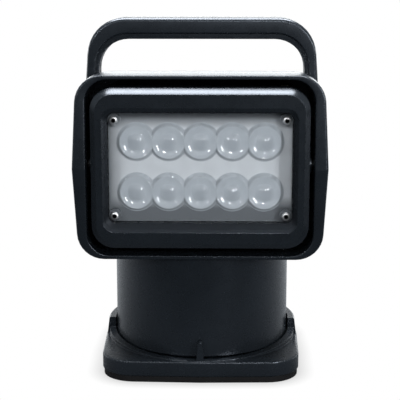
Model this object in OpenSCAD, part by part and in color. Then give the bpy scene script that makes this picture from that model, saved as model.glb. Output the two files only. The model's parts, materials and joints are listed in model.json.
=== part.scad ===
// Remote-controlled marine searchlight: square base with a round collar, a
// turning drum, a hoop-framed head with a carrying handle and a tilting lamp.
// Millimetres. +Z is up, -Y is the front, +X is the right-hand side seen from the front.
// The origin is on the pan axis at the underside of the base.

/* [Base] */
// Width of the base between its straight sides
base_w = 128; // [124:1:150]
// How far each side swells out at its middle
base_bow = 2; // [1:0.5:4]
// Corner radius of the base
base_corner_r = 22; // [16:1:28]
// Height of the base slab above the mounting surface
slab_h = 14; // [13:0.5:18]
// Wall of the base moulding
base_wall = 3; // [2.5:0.5:4]
// Thickness of the rubber gasket under the base
gasket_h = 4; // [3:0.5:5]
// Thickness of the metal closing plate
plate_t = 2; // [1.5:0.5:3]
// Height of the collar above the slab at the front
collar_lip = 0.4; // [0.3:0.1:3]
// Rise of the collar towards the back, in degrees
collar_rise = 4.4; // [3:0.2:7]
// Height of the rear half ring that makes the side ears
ear_h = 25.5; // [24:0.5:30]
// Height of the index rib at the front of the collar
rib_h = 26.5; // [24:0.5:32]
// Width of the index rib at its foot
rib_w = 5; // [4:0.5:7]
// Distance between the mounting inserts
mount_pitch = 88; // [84:1:92]
// Bore radius of the mounting inserts
mount_r = 2.5; // [2:0.5:3]

/* [Turret] */
// Diameter of the drum
drum_d = 117; // [112:1:118]
// Height of the drum's top above the mounting surface
drum_top = 81; // [78:1:95]
// Wall of the drum
drum_wall = 3; // [2.5:0.5:4]
// Running gap between the drum and the base
drum_gap = 1; // [0.8:0.1:1.5]

/* [Head] */
// Width of the hoop at its waist
hoop_w = 160; // [158:1:170]
// Width of the hoop at its top and bottom
hoop_end_w = 154; // [152:1:156]
// Height of the hoop
hoop_h = 116.5; // [114:0.5:122]
// Depth of the hoop
hoop_depth = 52; // [50:1:58]
// Outer corner radius of the hoop
hoop_corner_r = 17; // [14:1:19]
// Thickness of the hoop's top and bottom walls
hoop_top_t = 2.5; // [2:0.25:4]
// Width of the hoop's side rim at the waist
hoop_side_t = 8.7; // [8:0.1:10]
// How far the waist stands forward of the top and bottom of the hoop
waist_bulge = 3; // [1:0.5:4]
// Distance of the hoop's front from the pan axis
hoop_front = 62; // [60:1:66]
// Wall of the rear shell
shell_wall = 3; // [2.5:0.5:4]
// Width of the rear shell
shell_w = 137; // [134:1:140]

/* [Lamp] */
// Gap between the bezel and the hoop at each side
lamp_side_gap = 2.8; // [2:0.1:4]
// Gap between the bezel and the hoop above and below
lamp_end_gap = 4.75; // [4.75:0.05:8]
// Distance of the tilt axis behind the hoop's front
axis_setback = 20; // [20:0.5:22]
// Distance of the bezel's front ahead of the tilt axis
bezel_reach = 24; // [22:0.5:25]
// Corner radius of the bezel
bezel_corner_r = 14.5; // [12:0.5:16]
// Width of the window
window_w = 117; // [114:0.5:118]
// Height of the window
window_h = 70.7; // [69:0.1:71.5]
// Distance of the window below the tilt axis
window_drop = 1.1; // [0.8:0.1:1.3]
// Diameter of the pivot pins
pivot_d = 8; // [6:0.5:9]

/* [Optics] */
// Distance between neighbouring lenses in a row
lens_pitch = 20.3; // [20:0.1:20.6]
// Distance between the two rows of lenses
lens_row_pitch = 32.3; // [31:0.1:32.6]
// Diameter of one lens
lens_d = 24.4; // [23:0.1:24.8]
// Height of a lens above its plate
lens_rise = 4; // [3:0.25:4.25]
// Height of the small dome in the middle of a lens
lens_step = 0.8; // [0.4:0.1:1.2]
// Lenses in a row
lens_columns = 5; // [4:1:5]

/* [Handle] */
// Height of the handle's top above the mounting surface
handle_top = 230; // [226:1:245]
// Height of the handle's top bar
handle_bar_h = 14; // [12:0.5:16]
// Depth of the handle from front to back
handle_depth = 22; // [18:1:24]
// Width of each handle leg where it meets the shell
handle_leg_w = 8.6; // [8.2:0.2:10]

/* [Drive] */
// Gear module
gear_mod = 1; // [1:0.05:1.05]
// Teeth of the fixed pan gear
pan_teeth = 60; // [56:2:60]
// Teeth of each pinion on the pan side
pan_pinion_teeth = 18; // [16:2:18]
// Teeth of the full circle that the tilt sector is cut from
tilt_teeth = 108; // [104:2:108]
// Teeth of the tilt pinion
tilt_pinion_teeth = 24; // [22:2:26]
// Outer diameter of the hollow spindle
spindle_d = 30; // [28:1:32]

/* [Hidden] */
$fn = 64;

// Colours of the materials
c_black = [0.11, 0.12, 0.14];
c_rubber = [0.05, 0.05, 0.05];
c_steel = [0.72, 0.73, 0.75];
c_brass = [0.75, 0.6, 0.3];
c_bronze = [0.65, 0.45, 0.25];
c_nylon = [0.9, 0.88, 0.82];
c_alu = [0.6, 0.62, 0.64];
c_clear = [0.85, 0.9, 0.95, 0.35];
c_board = [0.1, 0.35, 0.2];

// Clearances
fit = 0.05;
slip = 0.3;
eps = 0.01;

// Gear teeth: pressure angle and play
pressure = 20;
backlash = 0.16;

// Fasteners: thread radius, head radius and head height
m3 = [1.5, 2.75, 1.65];
m4 = [2, 3.8, 2.2];
screw_play = 0.05;
socket_share = 0.6;

// Base levels
base_half = base_w / 2;
deck_t = base_wall;
deck_bottom = slab_h - deck_t;
plate_top = gasket_h + plate_t;
edge_r = 1.5;
plate_inset = base_wall + slip;
boss_r = 5;
mount_boss_r = 6.2;
insert_r = mount_r + 1.2;
insert_top = slab_h - 1;
plate_screw_pos = base_half - 12;
collar_r = base_half + base_bow - edge_r - 0.6;
ear_r_foot = base_half + base_bow - 0.6;
ear_draft = 1.3;
drum_r = drum_d / 2;
collar_in_r = drum_r + drum_gap;
ear_front = -6;
grommet_r = 8;
cable_r = 4;

// Pan drive levels
spindle_r = spindle_d / 2;
spindle_bore_r = spindle_r - 4;
flange_r = spindle_r + 10;
flange_t = 3;
gear_t = 6;
gear_z = slab_h + flange_t;
gear_top = gear_z + gear_t;
washer_t = 1;
hub_z = gear_top + washer_t;
hub_wall = 3;
bush_t = 2;
bush_len = 8;
bush_r = spindle_r + bush_t;
hub_r = bush_r + hub_wall;
hub_h = 26;
hub_top = hub_z + hub_h;
floor_z = hub_z + 2.5;
floor_t = 3;
floor_top = floor_z + floor_t;
nut_h = 6;
spindle_top = hub_top + washer_t + nut_h;
spindle_screw_ring = spindle_r + 6;
pan_r = gear_mod * pan_teeth / 2;
pan_pinion_r = gear_mod * pan_pinion_teeth / 2;
pan_centre = pan_r + pan_pinion_r;
pan_pinion_t = 4;
pan_pinion_z = gear_z + (gear_t - pan_pinion_t) / 2;
pan_shaft_r = 2;
pan_box_r = 12.5;
pan_box_h = 18;
pan_can_r = 10;
pan_can_h = drum_top - 7 - floor_top - pan_box_h;
pan_nose_r = 5;
pan_nose_h = 2.5;
pan_screw_x = 8.5;
screw_seat = gear_top - m4[2] - 0.4;

// Drum
skirt_z = slab_h + drum_gap;
drum_in_r = drum_r - drum_wall;
drum_lip = 7;
head_screw_x = 44;
head_screw_front = 22;
head_screw_back = 48;
head_screw_back_x = 20;
head_boss_r = 5;
board_z = floor_top + 28;
board_half = 30;
board_front = -44;
board_back = -22;
board_t = 1.6;
post_x = board_half - 4;
post_r = 3.2;

// Head places
axis_y = axis_setback - hoop_front;
axis_z = drum_top + hoop_h / 2;
hoop_back = hoop_depth - hoop_front;
open_w = hoop_w - 2 * hoop_side_t;
open_h = hoop_h - 2 * hoop_top_t;
open_corner_r = 14;
hoop_taper = 2;
taper_start = 18;
sweep_back = axis_y + 20;
lamp_w = open_w - 2 * lamp_side_gap;
lamp_h = open_h - 2 * lamp_end_gap;
flange_plate_t = 3;
shell_front = hoop_back + flange_plate_t;
shell_back = drum_r;
shell_half = shell_w / 2;
shell_in_half = shell_half - shell_wall;
shell_screw_x = open_w / 2 + 3.2;
shell_screw_z = 36;

// Handle places
handle_front = shell_front + m3[2] + 0.8;
handle_back = handle_front + handle_depth;
handle_mid = (handle_front + handle_back) / 2;
handle_foot = axis_z + 12;
handle_knee = drum_top + hoop_h - 8;
handle_outer_r = 25;
handle_inner_r = 20;
handle_thread = 6;
handle_screw_low = handle_foot + 5;
handle_screw_high = handle_foot + 16;

// Lamp places along its own depth, measured from the tilt axis
bezel_face = -bezel_reach;
bezel_back = -9;
chamfer_h = 4.1;
chamfer_d = 4.5;
cover_t = 2.4;
cover_gasket_t = 0.6;
cover_back = bezel_back - cover_gasket_t;
cover_face = cover_back - cover_t;
cover_lap = 3.2;
window_corner_r = 5;
cover_corner_r = window_corner_r + cover_lap;
cover_w = window_w + 2 * cover_lap;
cover_h = window_h + 2 * cover_lap;
lamp_flange_t = 2;
tray_w = window_w + 0.5;
tray_h = window_h + 0.5;
lens_t = 2;
lens_dome_r = 8;
lens_back = cover_back + slip + lens_rise + lens_t;
tray_floor_t = 3;
led_front = lens_back + tray_floor_t;
led_t = 1.6;
housing_back = 8;
housing_w = window_w + 6;
housing_h = window_h + 9.3;
pocket_w = housing_w - 8;
pocket_h = window_h - 3.7;
sink_t = 4;
sink_rear = housing_back + sink_t;
fin_r = 50;
fin_t = 2;
fin_pitch = 6;
fin_span = 90;
trunnion_r = pivot_d / 2 + 4;
trunnion_x = open_w / 2 - 0.8;
pin_r = pivot_d / 2;
pin_start = housing_w / 2 - 1.2;
pin_end = open_w / 2 + 6;
pivot_bush_r = pin_r + 2;
pivot_bush_end = pin_end + 0.4;
cover_screw_x = window_w / 2 - 4.1;
cover_screw_z = window_h / 2 - 4.75;
lens_boss_r = tray_w / 2 - slip - cover_screw_x;
cover_screw_len = lens_back + tray_floor_t - 0.5 - cover_face;
bezel_screw_x = window_w / 2 - 8.5;
bezel_screw_z = (cover_h / 2 + window_drop + lamp_h / 2) / 2 - 1.6;
sink_screw_x = housing_w / 2 - 17.5;
sink_screw_z = (pocket_h / 2 + housing_h / 2) / 2;
emitter_w = 3.5;
emitter_h = 1.2;
emitter_hole_r = 6;

// Tilt drive places
tilt_r = gear_mod * tilt_teeth / 2;
tilt_pinion_r = gear_mod * tilt_pinion_teeth / 2;
tilt_centre = tilt_r + tilt_pinion_r;
tilt_y = axis_y + tilt_centre;
sector_x = housing_w / 2 - 9.5;
sector_t = 5;
sector_half_angle = 62;
sector_foot_t = 3;
sector_foot_x = sector_x - 6.5;
sector_foot_half = 13;
sector_screw_z = 8.5;
motor_r = 11;
motor_x0 = 2;
motor_x1 = sector_x - 9;
bracket_t = 2;
bracket_x1 = motor_x1 + bracket_t;
bracket_foot_x = 24;
bracket_half = 12.5;
tilt_shaft_r = 2;
tilt_nose_r = 4;
tilt_screw_offset = 7;

// Vectors and outlines
function unit(v) = v / norm(v);
function xy(v) = [v[0], v[1]];
function arc(centre, r, from, to, n) =
    [for (i = [0 : n]) centre + r * [cos(from + (to - from) * i / n), sin(from + (to - from) * i / n)]];

// Points of one rounded corner at b, between a and c
function corner(a, b, c, r, n) =
    let (
        u = unit(a - b),
        v = unit(c - b),
        half = acos(u * v) / 2,
        centre = b + unit(u + v) * r / sin(half),
        start = b + u * r / tan(half) - centre,
        turn = sign(cross(b - a, c - b)) * (180 - 2 * half),
        from = atan2(start[1], start[0])
    )
    arc(centre, r, from, from + turn, n);

// Outline through vertices [x, y, radius, steps], each rounded by its own radius
function rounded(v) =
    let (m = len(v))
    [for (i = [0 : m - 1])
        each corner(xy(v[(i + m - 1) % m]), xy(v[i]), xy(v[(i + 1) % m]), v[i][2], v[i][3])];

// Rounded rectangle about the origin
function pane(w, h, r, n = 8) = rounded([
    [w / 2, -h / 2, r, n], [w / 2, h / 2, r, n], [-w / 2, h / 2, r, n], [-w / 2, -h / 2, r, n]
]);

// Base outline: a rounded square whose sides swell a little
function base_outline(inset) =
    let (
        a = base_half - inset,
        b = base_half + base_bow - inset,
        r = base_corner_r - inset,
        bow_r = 60
    )
    rounded([
        [a, -a, r, 9], [b, 0, bow_r, 2], [a, a, r, 9], [0, b, bow_r, 2],
        [-a, a, r, 9], [-b, 0, bow_r, 2], [-a, -a, r, 9], [0, -b, bow_r, 2]
    ]);

// Six-sided outline with a waist, for the hoop's outside and opening
function waisted(end_w, mid_w, h, r, waist_r) = rounded([
    [end_w / 2, -h / 2, r, 8], [mid_w / 2, 0, waist_r, 2], [end_w / 2, h / 2, r, 8],
    [-end_w / 2, h / 2, r, 8], [-mid_w / 2, 0, waist_r, 2], [-end_w / 2, -h / 2, r, 8]
]);

// Triangles that join a row of sections with equal numbers of points
function skin_sides(m, k, closed) =
    [for (i = [0 : m - (closed ? 1 : 2)], j = [0 : k - 1])
        let (
            a = i * k + j,
            b = i * k + (j + 1) % k,
            c = ((i + 1) % m) * k + (j + 1) % k,
            d = ((i + 1) % m) * k + j
        )
        each [[a, c, b], [a, d, c]]];
function skin_caps(m, k) =
    [[for (j = [0 : k - 1]) j], [for (j = [k - 1 : -1 : 0]) (m - 1) * k + j]];

// Solid through sections; a closed row joins its last section to its first
module skin(sections, closed = false) {
    m = len(sections);
    k = len(sections[0]);
    polyhedron(
        points = [for (s = sections) each s],
        faces = closed ? skin_sides(m, k, true) : concat(skin_sides(m, k, false), skin_caps(m, k)),
        convexity = 6
    );
}

// Upright solid through outlines [inset, z] of the base
module base_loft(levels) {
    skin([for (l = levels) [for (p = base_outline(l[0])) [p[0], p[1], l[1]]]]);
}

// Extrusion along Y of a drawing in X and Z
module prism_y(y0, y1) {
    translate([0, y1, 0]) rotate([90, 0, 0]) linear_extrude(y1 - y0) children();
}

// Lamp frame: origin on the tilt axis
module at_axis() {
    translate([0, axis_y, axis_z]) children();
}

// Rods along X, Y and Z between two places
module rod_x(x0, x1, r) {
    translate([x0, 0, 0]) rotate([0, 90, 0]) cylinder(h = x1 - x0, r = r);
}
module rod_y(y0, y1, r) {
    translate([0, y1, 0]) rotate([90, 0, 0]) cylinder(h = y1 - y0, r = r);
}
module rod_z(z0, z1, r) {
    translate([0, 0, z0]) cylinder(h = z1 - z0, r = r);
}
module ring_z(z0, z1, r_in, r_out) {
    difference() {
        rod_z(z0, z1, r_out);
        rod_z(z0 - 1, z1 + 1, r_in);
    }
}

// Button-head screw standing on z = 0 with its thread pointing down
module cap_screw(size, length) {
    thread_r = size[0] - screw_play;
    head_r = size[1];
    head_h = size[2];
    difference() {
        rotate_extrude() polygon([
            [0, -length], [thread_r, -length], [thread_r, 0], [head_r, 0], [head_r, head_h * 0.4],
            [head_r * 0.86, head_h * 0.8], [head_r * 0.62, head_h], [0, head_h]
        ]);
        translate([0, 0, head_h * (1 - socket_share)]) cylinder(h = head_h, r = head_r * 0.5, $fn = 6);
    }
}
module screw_hole(size, length) {
    rod_z(-length - 0.2, eps, size[0]);
}

// Copies about the X and Z mirror planes, for four-cornered patterns
module corners_xz(x, z) {
    for (sx = [-1, 1], sz = [-1, 1]) translate([sx * x, 0, sz * z]) children();
}
module corners_xy(x, y) {
    for (sx = [-1, 1], sy = [-1, 1]) translate([sx * x, sy * y, 0]) children();
}

// Screw axes turned so that the head faces the back, the front or one side
module facing_back() {
    rotate([-90, 0, 0]) children();
}
module facing_front() {
    rotate([90, 0, 0]) children();
}

// Involute gear outline with one tooth centred on +X
function roll(rb, r) = let (q = sqrt(max(0, pow(r / rb, 2) - 1))) q * 180 / PI - atan(q);
function tooth(n, flank = 4) =
    let (
        rp = gear_mod * n / 2,
        rb = rp * cos(pressure),
        root = rp - 1.25 * gear_mod,
        tip = rp + 0.95 * gear_mod,
        low = max(rb, root),
        wide = 90 / n - backlash / 2 / rp * 180 / PI + roll(rb, rp),
        radii = [for (i = [0 : flank]) low + (tip - low) * i / flank],
        up = [for (r = radii) [r, -(wide - roll(rb, r))]]
    )
    concat([[root, -wide]], up, [for (i = [flank : -1 : 0]) [up[i][0], -up[i][1]]], [[root, wide]]);
function gear_points(n, first, last) =
    let (t = tooth(n))
    [for (i = [first : last], p = t) let (a = p[1] + i * 360 / n) p[0] * [cos(a), sin(a)]];

// Holes of the four mounting inserts and the four plate screws
module mount_places() {
    corners_xy(mount_pitch / 2, mount_pitch / 2) children();
}
module plate_screw_places() {
    for (a = [0 : 90 : 270]) rotate([0, 0, a]) translate([plate_screw_pos, 0, 0]) children();
}
module spindle_screw_places() {
    for (a = [0 : 90 : 270]) rotate([0, 0, a]) translate([spindle_screw_ring, 0, 0]) children();
}

// Base
module base_gasket() {
    color(c_rubber) difference() {
        linear_extrude(gasket_h) polygon(base_outline(0.8));
        rod_z(-1, gasket_h + 1, grommet_r + 4);
        mount_places() rod_z(-1, gasket_h + 1, mount_r + 0.7);
    }
}

module base_plate() {
    color(c_alu) difference() {
        translate([0, 0, gasket_h]) linear_extrude(plate_t) polygon(base_outline(plate_inset));
        rod_z(0, plate_top + 1, grommet_r);
        mount_places() rod_z(0, plate_top + 1, mount_r + 0.5);
        plate_screw_places() translate([0, 0, gasket_h]) {
            rod_z(-1, plate_t + 1, m3[0] + screw_play);
            rod_z(-1, plate_t / 2, m3[1] + screw_play);
        }
    }
}

module base_plate_screws() {
    color(c_steel) plate_screw_places() translate([0, 0, gasket_h + plate_t / 2]) mirror([0, 0, 1])
        difference() {
            union() {
                rod_z(0, plate_t / 2, m3[1]);
                rod_z(-5.5, eps, m3[0] - screw_play);
            }
            translate([0, 0, plate_t / 4]) cylinder(h = plate_t, r = m3[1] * 0.45, $fn = 6);
        }
}

// Height of the collar's slanted edge at a distance y from the axis
function collar_z(y) = slab_h + collar_lip + (y + collar_in_r) * tan(collar_rise);

// Everything in front of the ears, and everything above a line in Y and Z
module before_ears(overlap) {
    translate([-base_w, -2 * base_w, 0]) cube([2 * base_w, 2 * base_w + ear_front + overlap, base_w]);
}
module above_edge() {
    far = 2 * base_w;
    translate([-far / 2, 0, 0]) rotate([90, 0, 90]) linear_extrude(far)
        polygon([[-far, collar_z(-far)], [far, collar_z(far)], [far, 2 * far], [-far, 2 * far]]);
}

// Round collar with a slanted edge in front, and a higher half ring behind that ends in ears
module collar() {
    soft = 0.8;
    root = slab_h - 1;
    ear_r = ear_r_foot - ear_draft;
    difference() {
        intersection() {
            rotate_extrude() polygon([
                [collar_in_r, root], [collar_r, root], [collar_r, ear_h], [collar_in_r, ear_h]
            ]);
            before_ears(1);
        }
        above_edge();
    }
    difference() {
        rotate_extrude() polygon([
            [collar_in_r, root], [ear_r_foot, root], [ear_r_foot, slab_h],
            [ear_r, ear_h - soft], [ear_r - soft, ear_h], [collar_in_r, ear_h]
        ]);
        before_ears(0);
    }
}

module index_rib() {
    tip = rib_w * 0.62;
    prism_y(-collar_r - 0.6, -collar_in_r - 0.3) polygon(concat(
        [[-rib_w / 2, slab_h - 1], [rib_w / 2, slab_h - 1]],
        arc([0, rib_h - tip / 2], tip / 2, 0, 180, 8)
    ));
}

module base_shell() {
    color(c_black) difference() {
        union() {
            base_loft([
                [0.4, gasket_h], [0, gasket_h + 0.5], [0, slab_h - edge_r],
                [edge_r * 0.29, slab_h - edge_r * 0.29], [edge_r, slab_h]
            ]);
            collar();
            index_rib();
        }
        difference() {
            translate([0, 0, gasket_h - 1]) linear_extrude(deck_bottom - gasket_h + 1)
                polygon(base_outline(base_wall));
            mount_places() rod_z(plate_top, slab_h, mount_boss_r);
            plate_screw_places() rod_z(plate_top, slab_h, boss_r);
            spindle_screw_places() rod_z(plate_top + slip, slab_h, boss_r);
        }
        rod_z(0, slab_h + 1, spindle_bore_r);
        mount_places() rod_z(0, insert_top, insert_r);
        plate_screw_places() translate([0, 0, plate_top]) mirror([0, 0, 1])
            screw_hole(m3, 5.5 - plate_t / 2);
        spindle_screw_places() translate([0, 0, slab_h + eps]) screw_hole(m4, deck_t + 4);
    }
}

module mounting_inserts() {
    color(c_brass) mount_places() ring_z(plate_top, insert_top, mount_r, insert_r);
}

module cable_grommet() {
    lip = 2;
    color(c_rubber) difference() {
        union() {
            rod_z(gasket_h, plate_top + lip, grommet_r);
            rod_z(plate_top, plate_top + lip, grommet_r + lip);
            rod_z(gasket_h - lip, gasket_h, grommet_r + lip);
        }
        rod_z(0, plate_top + lip + 1, cable_r);
    }
}

// Pan drive
module pan_spindle() {
    color(c_steel) difference() {
        union() {
            rod_z(slab_h, slab_h + flange_t, flange_r);
            rod_z(slab_h, spindle_top, spindle_r);
        }
        rod_z(0, spindle_top + 1, spindle_bore_r);
        spindle_screw_places() rod_z(slab_h - 1, slab_h + flange_t + 1, m4[0] + screw_play);
    }
}

module spindle_screws() {
    color(c_steel) spindle_screw_places() translate([0, 0, screw_seat])
        cap_screw(m4, screw_seat - slab_h + deck_t + 3.5);
}

module pan_sun_gear() {
    color(c_nylon) difference() {
        translate([0, 0, gear_z]) rotate([0, 0, 90]) linear_extrude(gear_t)
            polygon(gear_points(pan_teeth, 0, pan_teeth - 1));
        rod_z(gear_z - 1, gear_top + 1, spindle_r + screw_play);
        spindle_screw_places() {
            rod_z(gear_z - 1, gear_top + 1, m4[0] + screw_play);
            rod_z(screw_seat, gear_top + 1, m4[1] + screw_play);
        }
    }
}

module thrust_washer() {
    color(c_bronze) ring_z(gear_top, hub_z, spindle_r + slip, spindle_screw_ring - m4[1] + 1.5);
}

module spindle_washer() {
    color(c_steel) ring_z(hub_top, hub_top + washer_t, spindle_r + fit, bush_r + 1.5);
}

module spindle_nut() {
    color(c_brass) difference() {
        translate([0, 0, hub_top + washer_t]) cylinder(h = nut_h, r = bush_r + 3, $fn = 6);
        rod_z(hub_top, spindle_top + 1, spindle_r + fit);
    }
}

module pan_bush(z0) {
    color(c_bronze) ring_z(z0, z0 + bush_len, spindle_r + fit, bush_r);
}
module pan_bush_lower() {
    pan_bush(hub_z);
}
module pan_bush_upper() {
    pan_bush(hub_top - bush_len);
}

// Places of the pan motor's axis and of the screws through the drum's top lip
module at_pan_motor() {
    translate([0, pan_centre, 0]) children();
}
module pan_screw_places() {
    at_pan_motor() for (s = [-1, 1]) translate([s * pan_screw_x, 0, 0]) children();
}
module head_screw_places() {
    for (s = [-1, 1]) {
        translate([s * head_screw_x, -head_screw_front, 0]) children();
        translate([s * head_screw_back_x, head_screw_back, 0]) children();
    }
}

module board_post_places() {
    for (s = [-1, 1], y = [board_front + 4, board_back - 4]) translate([s * post_x, y, 0]) children();
}

module turret_drum() {
    color(c_black) difference() {
        union() {
            rotate_extrude() polygon([
                [bush_r, hub_z], [hub_r, hub_z], [hub_r, floor_z], [drum_in_r, floor_z],
                [drum_in_r, skirt_z], [drum_r - 0.6, skirt_z], [drum_r, skirt_z + 0.6],
                [drum_r, drum_top], [drum_in_r - drum_lip, drum_top],
                [drum_in_r - drum_lip, drum_top - drum_wall], [drum_in_r, drum_top - drum_wall],
                [drum_in_r, floor_top], [hub_r, floor_top],
                [hub_r, hub_top], [bush_r, hub_top]
            ]);
            intersection() {
                head_screw_places() rod_z(drum_top - 12, drum_top, head_boss_r);
                rod_z(0, drum_top, drum_r - 1);
            }
            board_post_places() rod_z(floor_z + 1, board_z, post_r);
        }
        at_pan_motor() rod_z(0, floor_top + 1, pan_nose_r + slip);
        pan_screw_places() rod_z(0, floor_top + 1, m3[0]);
        head_screw_places() translate([0, 0, drum_top]) screw_hole(m4, 9);
        board_post_places() translate([0, 0, board_z]) screw_hole(m3, 6);
    }
}

module pan_motor() {
    color(c_steel) difference() {
        at_pan_motor() {
            rod_z(floor_top, floor_top + pan_box_h, pan_box_r);
            rod_z(floor_top - pan_nose_h, floor_top, pan_nose_r);
            rod_z(floor_top + pan_box_h, floor_top + pan_box_h + pan_can_h, pan_can_r);
        }
        at_pan_motor() rod_z(0, floor_top + pan_box_h / 2, pan_shaft_r + fit);
        pan_screw_places() rod_z(0, floor_top + 4.2, m3[0]);
    }
}

module pan_motor_screws() {
    color(c_steel) pan_screw_places() translate([0, 0, floor_z]) mirror([0, 0, 1])
        cap_screw(m3, floor_t + 4);
}

module pan_motor_shaft() {
    color(c_steel) at_pan_motor() rod_z(pan_pinion_z, floor_top + pan_box_h / 2 - slip, pan_shaft_r);
}

module pan_pinion() {
    color(c_nylon) at_pan_motor() difference() {
        translate([0, 0, pan_pinion_z]) rotate([0, 0, -90 + 180 / pan_pinion_teeth])
            linear_extrude(pan_pinion_t) polygon(gear_points(pan_pinion_teeth, 0, pan_pinion_teeth - 1));
        rod_z(0, gear_top + 1, pan_shaft_r + screw_play / 2);
    }
}

module control_board() {
    top = board_z + board_t;
    color(c_board) difference() {
        union() {
            translate([-board_half, board_front, board_z])
                cube([2 * board_half, board_back - board_front, board_t]);
            translate([-board_half + 10, board_front + 5, top - eps]) cube([12, 10, 9]);
            translate([-4, board_front + 6, top - eps]) cube([10, 8, 2]);
            translate([board_half - 18, board_front + 10, 0]) rod_z(top - eps, board_z + 12, 4);
        }
        board_post_places() rod_z(board_z - 1, top + 1, m3[0] + screw_play);
    }
}

module control_board_screws() {
    color(c_steel) board_post_places() translate([0, 0, board_z + board_t]) cap_screw(m3, board_t + 5);
}

// Head frame
function hoop_outer() = waisted(hoop_end_w, hoop_w, hoop_h, hoop_corner_r, 14);
function hoop_inner() = waisted(open_w - 0.2, open_w, open_h, open_corner_r, 14);

// Share of the hoop's half height above its waist, from 0 to 1
function above(z) = max(0, z / (hoop_h / 2));
function waist_front(z) = -hoop_front - waist_bulge * (1 - abs(z) / (hoop_h / 2));

// Hoop section from matching points of its outside and opening; the third number is a fall
function hoop_section(o, i) =
    let (
        span = norm(i - o),
        u = (i - o) / span,
        f = min(2, span * 0.2),
        g = min(1.2, span * 0.2),
        zf = waist_front(o[1]),
        share = above(o[1]),
        outer = [for (q = arc([f, f], f, 180, 270, 3)) [q[0], zf + q[1], 0]],
        inner = [for (q = arc([span - g, g], g, 270, 360, 2)) [q[0], zf + q[1], 0]],
        outer_back = [[0, hoop_back, hoop_taper * share], [0, taper_start - hoop_front, 0]],
        inner_back = [[span, sweep_back, 0], [span, hoop_back, hoop_taper / 2 * share]],
        profile = concat(outer_back, outer, inner, inner_back)
    )
    [for (p = profile) let (q = o + u * p[0]) [q[0], p[1], q[1] - p[2] + axis_z]];

module front_hoop() {
    outer = hoop_outer();
    inner = hoop_inner();
    color(c_black) difference() {
        skin([for (n = [0 : len(outer) - 1]) hoop_section(outer[n], inner[n])], closed = true);
        at_axis() for (s = [0, 1]) mirror([s, 0, 0]) rod_x(0, pivot_bush_end, pivot_bush_r);
        translate([0, hoop_back, axis_z]) corners_xz(shell_screw_x, shell_screw_z)
            facing_back() screw_hole(m3, 10);
        for (s = [-1, 1]) translate([s * head_screw_x, -head_screw_front, 0])
            rod_z(drum_top - 1, drum_top + 10, m4[0] + screw_play);
    }
}

// Rear shell sections: place along Y, loss of half width, drop of the top
function shell_path() = [
    [shell_front - 1, 0, 4.6], [handle_back + 1, 0, 8.5], [handle_back + 12, 1, 12],
    [handle_back + 24, 5, 17.5], [shell_back - 8, 18, 26], [shell_back - 2.5, 26, 34], [shell_back, 34, 42]
];
function shell_section(s, inset) =
    let (
        half = shell_half - s[1] - inset,
        top = drum_top + hoop_h - s[2] - inset,
        low = drum_top + inset,
        r = 18 - inset,
        share = max(0, (s[0] - shell_front) / (shell_back - shell_front)),
        outline = rounded([[half, low, 4, 2], [half, top, r, 6], [-half, top, r, 6], [-half, low, 4, 2]])
    )
    [for (p = outline) [p[0], s[0] - inset * share, p[1]]];

module hoop_back_plate() {
    outer = hoop_outer();
    prism_y(hoop_back, shell_front) translate([0, axis_z]) polygon([for (n = [0 : len(outer) - 1])
        outer[n] - [0, hoop_taper * above(outer[n][1])]]);
}

module handle_screw_places() {
    for (s = [0, 1], z = [handle_screw_low, handle_screw_high]) mirror([s, 0, 0])
        translate([0, handle_mid, z]) children();
}
module bracket_screw_places() {
    for (y = [-8, 8]) translate([bracket_foot_x + 5, tilt_y + y, drum_top + shell_wall]) children();
}

module shell_cavity() {
    path = concat([[hoop_back - 2, 0, 4.6]], shell_path());
    skin([for (i = [len(path) - 1 : -1 : 0]) shell_section(path[i], shell_wall)]);
}

module rear_shell() {
    path = shell_path();
    color(c_black) difference() {
        union() {
            hoop_back_plate();
            skin([for (i = [len(path) - 1 : -1 : 0]) shell_section(path[i], 0)]);
        }
        shell_cavity();
        translate([0, shell_front, axis_z]) corners_xz(shell_screw_x, shell_screw_z)
            facing_back() screw_hole(m3, flange_plate_t + 1);
        handle_screw_places() rod_x(0, shell_half + 1, m3[0] + screw_play);
        for (s = [-1, 1]) translate([s * head_screw_back_x, head_screw_back, 0])
            rod_z(drum_top - 1, drum_top + 10, m4[0] + screw_play);
        bracket_screw_places() rod_z(-shell_wall - 1, 1, m3[0]);
        translate([0, 8, 0]) rod_z(drum_top - 1, drum_top + shell_wall + 1, 14);
    }
}

module shell_screws() {
    color(c_steel) translate([0, shell_front, axis_z]) corners_xz(shell_screw_x, shell_screw_z)
        facing_back() cap_screw(m3, flange_plate_t + 9);
}

module head_screws() {
    color(c_steel) {
        for (s = [-1, 1]) translate([s * head_screw_x, -head_screw_front, drum_top + hoop_top_t])
            cap_screw(m4, hoop_top_t + 8.5);
        for (s = [-1, 1]) translate([s * head_screw_back_x, head_screw_back, drum_top + shell_wall])
            cap_screw(m4, shell_wall + 8.5);
    }
}

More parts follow.
